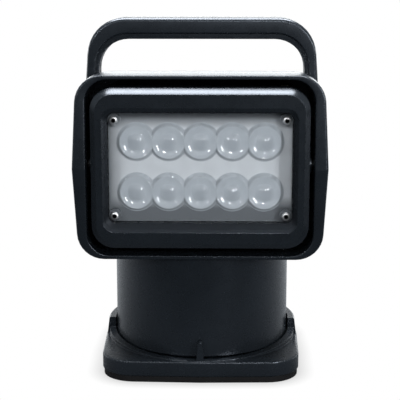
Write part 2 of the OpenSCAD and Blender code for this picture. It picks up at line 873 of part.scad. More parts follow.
// Handle: an outer and an inner line that run up one leg, over the bar and down the other
function handle_line(foot_x, knee_z, top_x, top_z, top_r) =
    let (
        foot = [foot_x, handle_foot],
        knee = [foot_x, knee_z],
        shoulder = [top_x, top_z],
        across = [-top_x, top_z],
        leg = concat([foot], corner(foot, knee, shoulder, 40, 2)),
        right = concat(leg, corner(knee, shoulder, across, top_r, 9))
    )
    concat(right, [for (i = [len(right) - 1 : -1 : 0]) [-right[i][0], right[i][1]]]);
function handle_profile(span) =
    let (
        edge = 2.4,
        lip = span * 0.28,
        main = span - lip,
        set_back = 3,
        soft = 0.8,
        front = concat(
            [for (q = arc([edge, edge], edge, 180, 270, 3)) q],
            [for (q = arc([main - soft, soft], soft, 270, 360, 2)) q],
            [[main, set_back]],
            [for (q = arc([span - soft, set_back + soft], soft, 270, 360, 2)) q]
        )
    )
    concat(
        [for (q = front) [q[0], handle_front + q[1]]],
        [for (i = [len(front) - 1 : -1 : 0]) [front[i][0], handle_back - front[i][1]]]
    );
function handle_section(o, i) =
    let (span = norm(i - o), u = (i - o) / span)
    [for (p = handle_profile(span)) let (q = o + u * p[0]) [q[0], p[1], q[1]]];

module handle() {
    foot_x = shell_half + handle_leg_w;
    outer = handle_line(foot_x, handle_knee, foot_x - 2.8, handle_top, handle_outer_r);
    bar_low = handle_top - handle_bar_h;
    inner = handle_line(shell_half, handle_knee, shell_half - 0.4, bar_low, handle_inner_r);
    color(c_black) difference() {
        skin([for (n = [0 : len(outer) - 1]) handle_section(outer[n], inner[n])]);
        handle_screw_places() rod_x(shell_half - 1, shell_half + handle_thread + 0.2, m3[0]);
    }
}

module handle_screws() {
    color(c_steel) handle_screw_places() translate([shell_in_half, 0, 0]) rotate([0, -90, 0])
        cap_screw(m3, shell_wall + handle_thread);
}

module pivot_bush_right() {
    color(c_bronze) at_axis() difference() {
        rod_x(open_w / 2 + slip / 2, pivot_bush_end, pivot_bush_r - screw_play / 2);
        rod_x(0, pivot_bush_end + 1, pin_r + fit);
    }
}
module pivot_bush_left() {
    mirror([1, 0, 0]) pivot_bush_right();
}

// Tilt drive
module at_tilt_motor() {
    translate([0, tilt_y, axis_z]) children();
}
module tilt_screw_places() {
    at_tilt_motor() for (s = [-1, 1]) translate([bracket_x1, 0, s * tilt_screw_offset]) children();
}

module tilt_motor() {
    color(c_steel) difference() {
        at_tilt_motor() {
            rod_x(motor_x0, motor_x1, motor_r);
            rod_x(motor_x1, bracket_x1, tilt_nose_r);
        }
        at_tilt_motor() rod_x(motor_x1 - 8, bracket_x1 + 1, tilt_shaft_r + fit);
        tilt_screw_places() rod_x(-bracket_t - 4.2, 1, m3[0]);
    }
}

module tilt_motor_bracket() {
    low = drum_top + shell_wall;
    color(c_alu) difference() {
        union() {
            translate([motor_x1, tilt_y - bracket_half, low])
                cube([bracket_t, 2 * bracket_half, axis_z + bracket_half - low]);
            translate([bracket_foot_x, tilt_y - bracket_half, low])
                cube([bracket_x1 - bracket_foot_x, 2 * bracket_half, bracket_t]);
        }
        at_tilt_motor() rod_x(motor_x1 - 1, bracket_x1 + 1, tilt_nose_r + screw_play);
        tilt_screw_places() rod_x(-bracket_t - 1, 1, m3[0] + screw_play);
        bracket_screw_places() rod_z(-1, bracket_t + 1, m3[0] + screw_play);
    }
}

module tilt_motor_screws() {
    color(c_steel) tilt_screw_places() rotate([0, 90, 0]) cap_screw(m3, bracket_t + 4);
}

module bracket_screws() {
    color(c_steel) bracket_screw_places() translate([0, 0, bracket_t])
        cap_screw(m3, bracket_t + shell_wall - 0.3);
}

module tilt_motor_shaft() {
    color(c_steel) at_tilt_motor() rod_x(motor_x1 - 8 + slip, sector_x + sector_t + 1, tilt_shaft_r);
}

module tilt_pinion() {
    color(c_nylon) at_tilt_motor() difference() {
        translate([sector_x, 0, 0]) rotate([0, 90, 0]) rotate([0, 0, -90 + 180 / tilt_pinion_teeth])
            linear_extrude(sector_t) polygon(gear_points(tilt_pinion_teeth, 0, tilt_pinion_teeth - 1));
        rod_x(0, sector_x + sector_t + 2, tilt_shaft_r + screw_play / 2);
    }
}

// Lamp
// Bezel section from matching points of its outside, its window and the cover's pocket
function bezel_section(o, i, w) =
    let (
        span = norm(i - o),
        u = (i - o) / span,
        profile = [
            [0, bezel_back], [0, bezel_face + chamfer_d + 0.6], [0.3, bezel_face + chamfer_d - 0.1],
            [chamfer_h - 0.3, bezel_face + 0.35], [chamfer_h, bezel_face],
            [span * 0.75, bezel_face], [span * 0.77, bezel_face + 0.4], [span * 0.87, bezel_face + 3.2],
            [span * 0.9, bezel_face + 3.4], [span, cover_face - 0.9], [span, cover_face]
        ],
        pocket = [[w[0], cover_face, w[1]], [w[0], bezel_back, w[1]]]
    )
    concat([for (p = profile) let (q = o + u * p[0]) [q[0], p[1], q[1]]], pocket);

module bezel_screw_places(y) {
    translate([0, y, 0]) corners_xz(bezel_screw_x, bezel_screw_z) facing_back() children();
}

module lamp_bezel() {
    outer = pane(lamp_w, lamp_h, bezel_corner_r);
    inner = pane(window_w, window_h, window_corner_r);
    pocket = pane(cover_w + 2 * slip, cover_h + 2 * slip, cover_corner_r + slip);
    low = [0, -window_drop];
    color(c_black) at_axis() difference() {
        skin([for (n = [0 : len(outer) - 1])
            bezel_section(outer[n], inner[n] + low, pocket[n] + low)], closed = true);
        bezel_screw_places(bezel_back) screw_hole(m3, 8);
    }
}

module bezel_screws() {
    color(c_steel) at_axis() bezel_screw_places(bezel_back + lamp_flange_t)
        cap_screw(m3, lamp_flange_t + 7.8);
}

// Pieces behind the window share its centre
module at_window() {
    translate([0, 0, -window_drop]) children();
}

// Screws that hold the cover stand on its front face
module cover_screw_places(y) {
    translate([0, y, 0]) corners_xz(cover_screw_x, cover_screw_z) facing_front() children();
}
module lens_places() {
    for (i = [0 : lens_columns - 1], s = [-1, 1])
        translate([(i - (lens_columns - 1) / 2) * lens_pitch, 0, s * lens_row_pitch / 2]) children();
}
module sink_screw_places(y) {
    translate([0, y, 0]) corners_xz(sink_screw_x, sink_screw_z) facing_back() children();
}

module lamp_housing() {
    flange_back = bezel_back + lamp_flange_t;
    color(c_black) at_axis() difference() {
        union() {
            prism_y(bezel_back, flange_back) polygon(pane(lamp_w - 5, lamp_h - 8.5, bezel_corner_r - 3));
            prism_y(flange_back - eps, housing_back) polygon(pane(housing_w, housing_h, 8));
            rod_x(-trunnion_x, trunnion_x, trunnion_r);
        }
        at_window() prism_y(bezel_back - 5, lens_back) polygon(pane(tray_w, tray_h, 4));
        prism_y(led_front, housing_back + 5) polygon(pane(pocket_w, pocket_h, 4));
        at_window() lens_places() rod_y(lens_back - 1, led_front + 1, emitter_hole_r);
        for (s = [0, 1]) mirror([s, 0, 0]) rod_x(pin_start - slip, trunnion_x + 1, pin_r + screw_play / 2);
        bezel_screw_places(flange_back) rod_z(-lamp_flange_t - 1, 1, m3[0] + screw_play);
        bezel_screw_places(flange_back) rod_z(0, 20, m3[1] + slip);
        at_window() cover_screw_places(lens_back) screw_hole(m3, tray_floor_t + 1);
        sink_screw_places(housing_back) screw_hole(m3, 8);
    }
}

module lens_cover() {
    color(c_clear) at_axis() at_window() difference() {
        prism_y(cover_face, cover_back) polygon(pane(cover_w, cover_h, cover_corner_r));
        cover_screw_places(cover_face) rod_z(-cover_t - 1, 1, m3[0] + screw_play);
    }
}

module cover_gasket() {
    color(c_rubber) at_axis() at_window() prism_y(cover_back, bezel_back) difference() {
        polygon(pane(cover_w - 1, cover_h - 1, cover_corner_r));
        polygon(pane(tray_w + 0.6, tray_h + 0.6, 4));
    }
}

module cover_screws() {
    color(c_steel) at_axis() at_window() cover_screw_places(cover_face) cap_screw(m3, cover_screw_len);
}

module lens_array() {
    cap_rise = lens_rise - lens_step;
    cap_r = (pow(lens_d / 2, 2) + pow(cap_rise, 2)) / (2 * cap_rise);
    plate_face = lens_back - lens_t;
    lens_top = plate_face - lens_rise;
    color(c_clear) at_axis() at_window() difference() {
        union() {
            prism_y(plate_face, lens_back) polygon(pane(tray_w - 2 * slip, tray_h - 2 * slip, 4 - slip));
            intersection() {
                lens_places() {
                    translate([0, lens_top + lens_step + cap_r, 0]) sphere(r = cap_r);
                    translate([0, lens_top + lens_dome_r, 0]) sphere(r = lens_dome_r);
                }
                prism_y(lens_top - 1, plate_face + 0.5) square([tray_w - 2, tray_h - 2], center = true);
            }
            cover_screw_places(plate_face) rod_z(-0.5, plate_face - cover_back, lens_boss_r);
        }
        cover_screw_places(plate_face) rod_z(-lens_t - 1, 20, m3[0] + screw_play);
    }
}

module led_board() {
    color(c_nylon) at_axis() prism_y(led_front, led_front + led_t)
        polygon(pane(pocket_w - 2 * slip, pocket_h - 2 * slip, 4 - slip));
}

module led_emitters() {
    color([0.95, 0.85, 0.45]) at_axis() at_window() lens_places() translate([0, led_front, 0]) {
        translate([-emitter_w / 2, -emitter_h / 2, -emitter_w / 2])
            cube([emitter_w, emitter_h / 2, emitter_w]);
        rod_y(-emitter_h, -emitter_h / 2 + eps, emitter_w * 0.42);
    }
}

module heat_sink() {
    fins = floor(fin_span / fin_pitch);
    color(c_alu) at_axis() difference() {
        union() {
            prism_y(led_front + led_t, housing_back + eps)
                polygon(pane(pocket_w - 2 * slip, pocket_h - 2 * slip, 4 - slip));
            prism_y(housing_back, sink_rear) polygon(pane(housing_w - 2, housing_h + 4, 8));
            intersection() {
                for (i = [0 : fins - 1])
                    translate([-fin_span / 2 - 3 + i * fin_pitch, sink_rear - eps, -fin_r])
                        cube([fin_t, fin_r, 2 * fin_r]);
                rod_x(-fin_span, fin_span, fin_r);
                prism_y(0, fin_r) square([2 * fin_span, housing_h], center = true);
            }
        }
        sink_screw_places(sink_rear) rod_z(-sink_t - 1, 1, m3[0] + screw_play);
        sink_screw_places(sink_rear) rod_z(0, 60, m3[1] + slip);
        sector_screw_places() screw_hole(m3, sink_t + 2);
    }
}

module heat_sink_screws() {
    color(c_steel) at_axis() sink_screw_places(sink_rear) cap_screw(m3, sink_t + 7.5);
}

module pivot_pin_right() {
    color(c_steel) at_axis() rod_x(pin_start, pin_end, pin_r);
}
module pivot_pin_left() {
    mirror([1, 0, 0]) pivot_pin_right();
}

module sector_screw_places() {
    for (s = [-1, 1]) translate([sector_foot_x + 3.2, sink_rear, s * sector_screw_z])
        facing_back() children();
}

module tilt_sector() {
    half = floor(sector_half_angle * tilt_teeth / 360);
    color(c_nylon) at_axis() difference() {
        union() {
            intersection() {
                translate([sector_x, 0, 0]) rotate([0, 90, 0]) rotate([0, 0, 90]) linear_extrude(sector_t)
                    polygon(concat([[0, 0]], gear_points(tilt_teeth, -half, half)));
                translate([0, sink_rear, -60]) cube([100, 60, 120]);
            }
            translate([sector_foot_x, sink_rear, -sector_foot_half])
                cube([sector_x - sector_foot_x + eps, sector_foot_t, 2 * sector_foot_half]);
        }
        translate([0, sector_foot_t, 0]) sector_screw_places()
            rod_z(-sector_foot_t - 1, 1, m3[0] + screw_play);
    }
}

module sector_screws() {
    color(c_steel) at_axis() translate([0, sector_foot_t, 0]) sector_screw_places()
        cap_screw(m3, sector_foot_t + sink_t);
}

base_gasket();
base_plate();
base_plate_screws();
base_shell();
mounting_inserts();
cable_grommet();
pan_spindle();
spindle_screws();
pan_sun_gear();
thrust_washer();
spindle_washer();
spindle_nut();
turret_drum();
pan_bush_lower();
pan_bush_upper();
pan_motor();
pan_motor_screws();
pan_motor_shaft();
pan_pinion();
control_board();
control_board_screws();
head_screws();
front_hoop();
rear_shell();
shell_screws();
handle();
handle_screws();
pivot_bush_left();
pivot_bush_right();
tilt_motor();
tilt_motor_bracket();
tilt_motor_screws();
bracket_screws();
tilt_motor_shaft();
tilt_pinion();
lamp_bezel();
bezel_screws();
lamp_housing();
lens_cover();
cover_gasket();
cover_screws();
lens_array();
led_board();
led_emitters();
heat_sink();
heat_sink_screws();
pivot_pin_left();
pivot_pin_right();
tilt_sector();
sector_screws();
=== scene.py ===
"""Looks of a remote-controlled marine searchlight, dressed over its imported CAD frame."""

import json
import logging
import math
from dataclasses import dataclass, field
from enum import Enum
from typing import Any, Iterable, Protocol

import bmesh
import bpy
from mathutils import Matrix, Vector


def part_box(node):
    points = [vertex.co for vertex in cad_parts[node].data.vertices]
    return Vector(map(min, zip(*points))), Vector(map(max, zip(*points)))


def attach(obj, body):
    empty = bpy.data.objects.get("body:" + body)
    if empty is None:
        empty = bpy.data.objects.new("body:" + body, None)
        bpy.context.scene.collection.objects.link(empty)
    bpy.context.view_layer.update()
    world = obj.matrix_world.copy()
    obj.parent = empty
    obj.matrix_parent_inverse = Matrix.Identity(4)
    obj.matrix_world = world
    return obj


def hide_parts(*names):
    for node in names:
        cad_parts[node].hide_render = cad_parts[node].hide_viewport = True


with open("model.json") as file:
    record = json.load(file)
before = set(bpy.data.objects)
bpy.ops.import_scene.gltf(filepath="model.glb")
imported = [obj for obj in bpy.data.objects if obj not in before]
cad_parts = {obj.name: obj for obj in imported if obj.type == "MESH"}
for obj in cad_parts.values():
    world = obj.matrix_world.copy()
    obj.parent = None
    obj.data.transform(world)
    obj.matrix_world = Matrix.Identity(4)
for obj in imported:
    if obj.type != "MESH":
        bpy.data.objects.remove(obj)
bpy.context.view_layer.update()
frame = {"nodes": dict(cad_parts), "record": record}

LOG = logging.getLogger("searchlight")
MM = 0.001
WHITE = (1.0, 1.0, 1.0, 1.0)
# Settings of a node that mixes two colours
COLOURS = {"data_type": "RGBA", "out": "Result_Color"}
# Most values of a noise pattern lie between these
NOISE_SPAN = (0.3, 0.7)
# Cosine between a rounded and a flat normal where wear starts, and where it is full
WEAR_COSINES = (0.99, 0.8)
# Rays that look for an edge to round, or for the part above the floor
SHADE_RAYS = 16
# Points of a CAD node that lie closer than this are one point
WELD_MM = 0.002
# Points of a built piece that lie closer than this, in metres, are one point
JOIN_M = 1e-7
# Large faces keep their own normals beside small ones
FACE_WEIGHT = 100


class Lay(Enum):
    """Tool marks of a metal, as their stretch along X, Y and Z."""

    TURNED = (1.0, 1.0, 6.0)
    BRUSHED = (0.06, 1.0, 1.0)
    CAST = (1.0, 1.0, 1.0)


class Body(Enum):
    """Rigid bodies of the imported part."""

    BASE = "base"
    TURRET = "turret"
    LAMP = "lamp"
    PAN_DRIVE = "pan_drive"
    TILT_DRIVE = "tilt_drive"


def linear(hex_colour: str) -> tuple[float, float, float, float]:
    """Turn an sRGB hex colour into linear light.

    Args:
        hex_colour: colour such as "#1B1F24".

    Returns:
        Linear red, green and blue with an alpha of one.
    """
    parts = [int(hex_colour[i : i + 2], 16) / 255 for i in (1, 3, 5)]
    r, g, b = (p / 12.92 if p <= 0.04045 else ((p + 0.055) / 1.055) ** 2.4 for p in parts)
    return (r, g, b, 1.0)


class Graph:
    """Node tree of a material or the world, with the patterns that several finishes share."""

    def __init__(self, owner: bpy.types.Material | bpy.types.World) -> None:
        """Start an empty tree.

        Args:
            owner: the material or world that holds it.
        """
        owner.use_nodes = True
        self.owner = owner
        self.tree = owner.node_tree
        self.tree.nodes.clear()

    def add(
        self,
        kind: str,
        inputs: dict[str, Any] | tuple[Any, ...] = (),
        out: str = "",
        **settings: Any,
    ) -> Any:
        """Add one node, set its properties and fill its inputs.

        Args:
            kind: Blender's node type without its prefix.
            inputs: values or other nodes' outputs, in order or by the input's identifier.
            out: identifier of the wanted output, or nothing for the first one.
            settings: properties of the node itself.

        Returns:
            The wanted output's socket, or None where the node has none.
        """
        node = self.tree.nodes.new("ShaderNode" + kind)
        for key, value in settings.items():
            setattr(node, key, value)
        named = {s.identifier: s for s in node.inputs}
        for key, value in inputs.items() if isinstance(inputs, dict) else enumerate(inputs):
            socket = named[key] if isinstance(key, str) else node.inputs[key]
            if isinstance(value, bpy.types.NodeSocket):
                self.tree.links.new(value, socket)
            else:
                socket.default_value = value
        results = {s.identifier: s for s in node.outputs}
        return results[out] if out else next(iter(results.values()), None)

    def surface(self, shader: Any) -> bpy.types.Material:
        """Wire a shader to the output and give the finished material."""
        self.add("OutputMaterial", (shader,))
        return self.owner

    def grain(
        self,
        size_mm: float,
        span: tuple[float, float] | None = None,
        detail: float = 3.0,
        stretch: tuple[float, float, float] = (1.0, 1.0, 1.0),
    ) -> Any:
        """Lay a noise pattern in the part's own coordinates.

        Args:
            size_mm: size of one cell.
            span: range to spread the pattern over, or nothing to leave it about 0.5.
            detail: octaves of the noise.
            stretch: scale along X, Y and Z.

        Returns:
            The pattern's socket.
        """
        spot = self.add("TexCoord", out="Object")
        spot = self.add("Mapping", {"Vector": spot, "Scale": stretch})
        cells = {"Vector": spot, "Scale": 1.0 / (size_mm * MM), "Detail": detail}
        noise = self.add("TexNoise", cells)
        return self.add("MapRange", (noise, *NOISE_SPAN, *span)) if span else noise

    def place(self, axis: str) -> Any:
        """Give the place along X, Y or Z of the part, in metres."""
        return self.add("SeparateXYZ", (self.add("TexCoord", out="Object"),), axis)

    def off_axis(self, spot: Any, centre: tuple[float, float, float]) -> Any:
        """Give the distance from an axis that runs to the front.

        Args:
            spot: socket with the place.
            centre: a point of the axis.

        Returns:
            The distance's socket.
        """
        away = self.add("VectorMath", (spot, centre), operation="SUBTRACT")
        flat = self.add("VectorMath", (away, (1.0, 0.0, 1.0)), operation="MULTIPLY")
        return self.add("VectorMath", (flat,), "Value", operation="LENGTH")

    def lean(self, normal: Any, share: Any) -> Any:
        """Lean a normal towards the front of its piece, wherever the body has turned.

        Args:
            normal: normal of the form.
            share: weight of the front, as a socket or a number.

        Returns:
            The leaning normal's socket.
        """
        front = self.add(
            "VectorTransform",
            ((0.0, -1.0, 0.0),),
            vector_type="VECTOR",
            convert_from="OBJECT",
            convert_to="WORLD",
        )
        pull = self.add("VectorMath", {"Vector": front, "Scale": share}, operation="SCALE")
        both = self.add("VectorMath", (normal, pull), operation="ADD")
        return self.add("VectorMath", (both,), operation="NORMALIZE")

    def edge(self, radius_mm: float) -> tuple[Any, Any]:
        """Round the edges in the shading and find where they are.

        Args:
            radius_mm: radius of the shaded edge.

        Returns:
            The rounded normal, and a value that is one on edges and zero on flats.
        """
        rounded = self.add("Bevel", {"Radius": radius_mm * MM}, samples=SHADE_RAYS)
        flat = self.add("NewGeometry", out="Normal")
        turn = self.add("VectorMath", (rounded, flat), "Value", operation="DOT_PRODUCT")
        return rounded, self.add("MapRange", (turn, *WEAR_COSINES, 0.0, 1.0))


class Finish(Protocol):
    """Anything that can make one material."""

    def material(self) -> bpy.types.Material:
        """Make the material."""


@dataclass(frozen=True)
class Moulded:
    """Moulded plastic or rubber: a spark-eroded grain, soft edges and slight wear on them."""

    name: str
    colour: str
    worn: str
    roughness: float
    grain_mm: float = 0.5
    grain_depth_mm: float = 0.004
    edge_mm: float = 0.4
    specular: float = 0.5
    sheen: str = "#FFFFFF"
    unevenness: float = 0.045
    gloss_patch_mm: float = 6.0
    cloud_mm: float = 18.0
    clouding: float = 0.35
    rub_mm: float = 4.0
    rubbing: float = 0.2

    def relief(self, g: Graph, normal: Any) -> Any:
        """Give the grained normal.

        Args:
            g: the material's graph.
            normal: normal of the form.

        Returns:
            The normal's socket.
        """
        height = g.grain(self.grain_mm, detail=2.0)
        depth = self.grain_depth_mm * MM
        return g.add("Bump", {"Height": height, "Distance": depth, "Normal": normal})

    def gloss(self, g: Graph) -> tuple[Any, Any]:
        """Give the roughness and the strength of the highlights, as sockets or numbers."""
        span = (self.roughness - self.unevenness, self.roughness + self.unevenness)
        return g.grain(self.gloss_patch_mm, span), self.specular

    def material(self) -> bpy.types.Material:
        """Make the material.

        Returns:
            A satin surface whose grain breaks up the highlights.
        """
        g = Graph(bpy.data.materials.new(self.name))
        normal, wear = g.edge(self.edge_mm)
        new, worn = linear(self.colour), linear(self.worn)
        cloud = g.grain(self.cloud_mm, (0.0, self.clouding))
        patchy = g.add("Mix", {"Factor_Float": cloud, "A_Color": new, "B_Color": worn}, **COLOURS)
        rub = g.grain(self.rub_mm, (0.0, self.rubbing))
        rubbed = g.add("Math", (wear, rub), operation="MULTIPLY")
        tone = {"Factor_Float": rubbed, "A_Color": patchy, "B_Color": worn}
        rough, strength = self.gloss(g)
        shader = g.add(
            "BsdfPrincipled",
            {
                "Base Color": g.add("Mix", tone, **COLOURS),
                "Roughness": rough,
                "Specular IOR Level": strength,
                "Specular Tint": linear(self.sheen),
                "Normal": self.relief(g, normal),
            },
        )
        return g.surface(shader)


@dataclass(frozen=True)
class BezelMoulding(Moulded):
    """Moulded bezel: soft edges below its top chamfer, and a matt sill under its window."""

    half_w_mm: float = 63.0
    sill_z_mm: float = 106.15
    sill_half_mm: float = 8.5
    front_y_mm: float = -65.8
    chamfer_z_mm: tuple[float, float] = (188.0, 171.0)
    rounding: float = 1.9
    matt_roughness: float = 0.45
    matt_specular: float = 0.18

    def relief(self, g: Graph, normal: Any) -> Any:
        """Give the grained normal, with the edges below the top chamfer rounded to the front.

        Args:
            g: the material's graph.
            normal: normal of the form.

        Returns:
            The normal's socket.
        """
        top, low = (z * MM for z in self.chamfer_z_mm)
        share = g.add("MapRange", (g.place("Z"), top, low, 0.0, self.rounding))
        return super().relief(g, g.lean(normal, share))

    def gloss(self, g: Graph) -> tuple[Any, Any]:
        """Give the roughness and the strength of the highlights, duller on the sill.

        Args:
            g: the material's graph.

        Returns:
            Both as sockets.
        """
        rough, strength = super().gloss(g)
        width = g.add("Math", (g.place("X"),), operation="ABSOLUTE")
        across = g.add("Math", (width, self.half_w_mm * MM), operation="LESS_THAN")
        level = g.add("Math", (g.place("Z"), self.sill_z_mm * MM), operation="SUBTRACT")
        height = g.add("Math", (level,), operation="ABSOLUTE")
        within = g.add("Math", (height, self.sill_half_mm * MM), operation="LESS_THAN")
        deep = g.add("Math", (g.place("Y"), self.front_y_mm * MM), operation="GREATER_THAN")
        strip = g.add("Math", (across, within), operation="MULTIPLY")
        sill = g.add("Math", (strip, deep), operation="MULTIPLY")
        duller = (sill, self.matt_roughness - self.roughness, rough)
        weaker = (sill, self.matt_specular - self.specular, strength)
        return (
            g.add("Math", duller, operation="MULTIPLY_ADD"),
            g.add("Math", weaker, operation="MULTIPLY_ADD"),
        )


@dataclass(frozen=True)
class Worked:
    """Metal with the marks of its last tool."""

    name: str
    colour: str
    roughness: float
    lay: Lay
    mark_mm: float = 0.2
    mark_depth_mm: float = 0.004
    edge_mm: float = 0.15
    tarnish: str = "#898989"
    tarnish_mm: float = 5.0
    tarnishing: float = 0.25
    bright: str = "#E6E8EA"
    gloss_patch_mm: float = 1.5
    unevenness: tuple[float, float] = (-0.05, 0.08)

    def tone(self, g: Graph, wear: Any) -> Any:
        """Give the metal's colour, brighter where its edges are rubbed.

        Args:
            g: the material's graph.
            wear: socket that is one on edges.

        Returns:
            The colour's socket.
        """
        cloud = g.grain(self.tarnish_mm, (0.0, self.tarnishing))
        new, dull = linear(self.colour), linear(self.tarnish)
        cloudy = g.add("Mix", {"Factor_Float": cloud, "A_Color": new, "B_Color": dull}, **COLOURS)
        rubbed = {"Factor_Float": wear, "A_Color": cloudy, "B_Color": linear(self.bright)}
        return g.add("Mix", rubbed, **COLOURS)

    def material(self) -> bpy.types.Material:
        """Make the material.

        Returns:
            A metal whose fine lay stretches its highlights.
        """
        g = Graph(bpy.data.materials.new(self.name))
        normal, wear = g.edge(self.edge_mm)
        low, high = (self.roughness + change for change in self.unevenness)
        marks = g.grain(self.mark_mm, detail=2.0, stretch=self.lay.value)
        depth = self.mark_depth_mm * MM
        shader = g.add(
            "BsdfPrincipled",
            {
                "Base Color": self.tone(g, wear),
                "Metallic": 1.0,
                "Roughness": g.grain(self.gloss_patch_mm, (low, high)),
                "Normal": g.add("Bump", {"Height": marks, "Distance": depth, "Normal": normal}),
            },
        )
        return g.surface(shader)


@dataclass(frozen=True)
class SocketHead(Worked):
    """Screw heads with painted shade inside their sockets."""

    screw_x_mm: float = 54.4
    screw_z_mm: float = 30.6
    centre_z_mm: float = 138.15
    socket_r_mm: tuple[float, float] = (1.35, 1.6)
    socket_shade: str = "#050506"

    def tone(self, g: Graph, wear: Any) -> Any:
        """Give the metal's colour, with painted shade inside the sockets.

        Args:
            g: the material's graph.
            wear: socket that is one on edges.

        Returns:
            The colour's socket.
        """
        spot, centre = g.add("TexCoord", out="Object"), (0.0, 0.0, self.centre_z_mm * MM)
        level = g.add("VectorMath", (spot, centre), operation="SUBTRACT")
        corner = g.add("VectorMath", (level,), operation="ABSOLUTE")
        reach = g.off_axis(corner, (self.screw_x_mm * MM, 0.0, self.screw_z_mm * MM))
        full, clear = (r * MM for r in self.socket_r_mm)
        # Inside the sockets the colour is painted shade, near black where the hollow hides the
        # light
        inside = g.add("MapRange", (reach, full, clear, 1.0, 0.0))
        head, socket_shade = super().tone(g, wear), linear(self.socket_shade)
        return g.add("Mix", {"Factor_Float": inside, "A_Color": head, "B_Color": socket_shade}, **COLOURS)


@dataclass(frozen=True)
class ClearSheet:
    """Polished clear sheet, thin enough that it bends nothing seen through it."""

    name: str
    tint: str
    ior: float
    roughness: float
    haze_mm: float = 14.0
    haze: float = 0.05
    wipe_mm: float = 9.0
    wipe_depth_mm: float = 0.006
    wipe_stretch: tuple[float, float, float] = (1.0, 1.0, 0.4)

    def material(self) -> bpy.types.Material:
        """Make the material.

        Returns:
            A see-through sheet with a glancing sheen and faint wipe marks.
        """
        g = Graph(bpy.data.materials.new(self.name))
        wipes = g.grain(self.wipe_mm, detail=4.0, stretch=self.wipe_stretch)
        marks = g.add("Bump", {"Height": wipes, "Distance": self.wipe_depth_mm * MM})
        rough = g.grain(self.haze_mm, (self.roughness, self.roughness + self.haze))
        clear = g.add("BsdfTransparent", {"Color": linear(self.tint)})
        sheen = g.add("BsdfGlossy", {"Roughness": rough, "Normal": marks})
        mirror = g.add("Fresnel", {"IOR": self.ior, "Normal": marks})
        inside = g.add("NewGeometry", out="Backfacing")
        outside = g.add("Math", (1.0, inside), operation="SUBTRACT")
        share = g.add("Math", (mirror, outside), operation="MULTIPLY")
        return g.surface(g.add("MixShader", (share, clear, sheen)))


@dataclass(frozen=True)
class SilverTray:
    """Silvered optic plate, with painted light in its middle and painted shade towards its rim."""

    name: str
    middle: str
    rim: str
    roughness: float
    half_w_mm: float = 58.5
    half_h_mm: float = 35.35
    centre_z_mm: float = 140.9
    side_fade_mm: tuple[float, float] = (4.2, 0.8)
    end_fade_mm: tuple[float, float] = (6.0, 14.0)
    cloud_mm: float = 9.0
    clouding: float = 0.12
    gloss_patch_mm: float = 3.0
    unevenness: float = 0.05
    grain_mm: float = 0.6
    grain_depth_mm: float = 0.01

    def shade(self, g: Graph) -> Any:
        """Give the share of the middle's tone, from the distance to the nearest rim. The rim's
        tone is painted shade, and it reaches further in from the left rim than from the right.

        Args:
            g: the material's graph.

        Returns:
            A socket that is zero at the rim and near one in the middle.
        """
        falls = []
        for way, fade in zip((1.0, -1.0), self.side_fade_mm):
            inward = (g.place("X"), way, self.half_w_mm * MM)
            side = g.add("Math", inward, operation="MULTIPLY_ADD")
            steps = g.add("Math", (side, -1.0 / (fade * MM)), operation="MULTIPLY")
            falls.append(g.add("Math", (steps,), operation="EXPONENT"))
        fall = g.add("Math", tuple(falls), operation="ADD")
        clear = g.add("Math", (1.0, fall), operation="SUBTRACT")
        level = g.add("Math", (g.place("Z"), self.centre_z_mm * MM), operation="SUBTRACT")
        height = g.add("Math", (level,), operation="ABSOLUTE")
        end = g.add("Math", (self.half_h_mm * MM, height), operation="SUBTRACT")
        dark, light = (d * MM for d in self.end_fade_mm)
        row = g.add("MapRange", (end, dark, light, 0.0, 1.0))
        return g.add("Math", (clear, row), operation="MULTIPLY")

    def material(self) -> bpy.types.Material:
        """Make the material.

        Returns:
            A soft silver with painted light between the lens rows and painted shade towards its
            rim.
        """
        g = Graph(bpy.data.materials.new(self.name))
        # The rim's tone is painted shade of the bezel's recess, and the middle's tone is painted
        # light
        rim, middle = linear(self.rim), linear(self.middle)
        fade = {"Factor_Float": self.shade(g), "A_Color": rim, "B_Color": middle}
        tone = g.add("Mix", fade, **COLOURS)
        cloud = g.grain(self.cloud_mm, (0.0, self.clouding))
        cloudy = g.add("Mix", {"Factor_Float": cloud, "A_Color": tone, "B_Color": rim}, **COLOURS)
        span = (self.roughness - self.unevenness, self.roughness + self.unevenness)
        height = g.grain(self.grain_mm, detail=2.0)
        shader = g.add(
            "BsdfPrincipled",
            {
                "Base Color": cloudy,
                "Roughness": g.grain(self.gloss_patch_mm, span),
                "Normal": g.add("Bump", {"Height": height, "Distance": self.grain_depth_mm * MM}),
            },
        )
        return g.surface(shader)


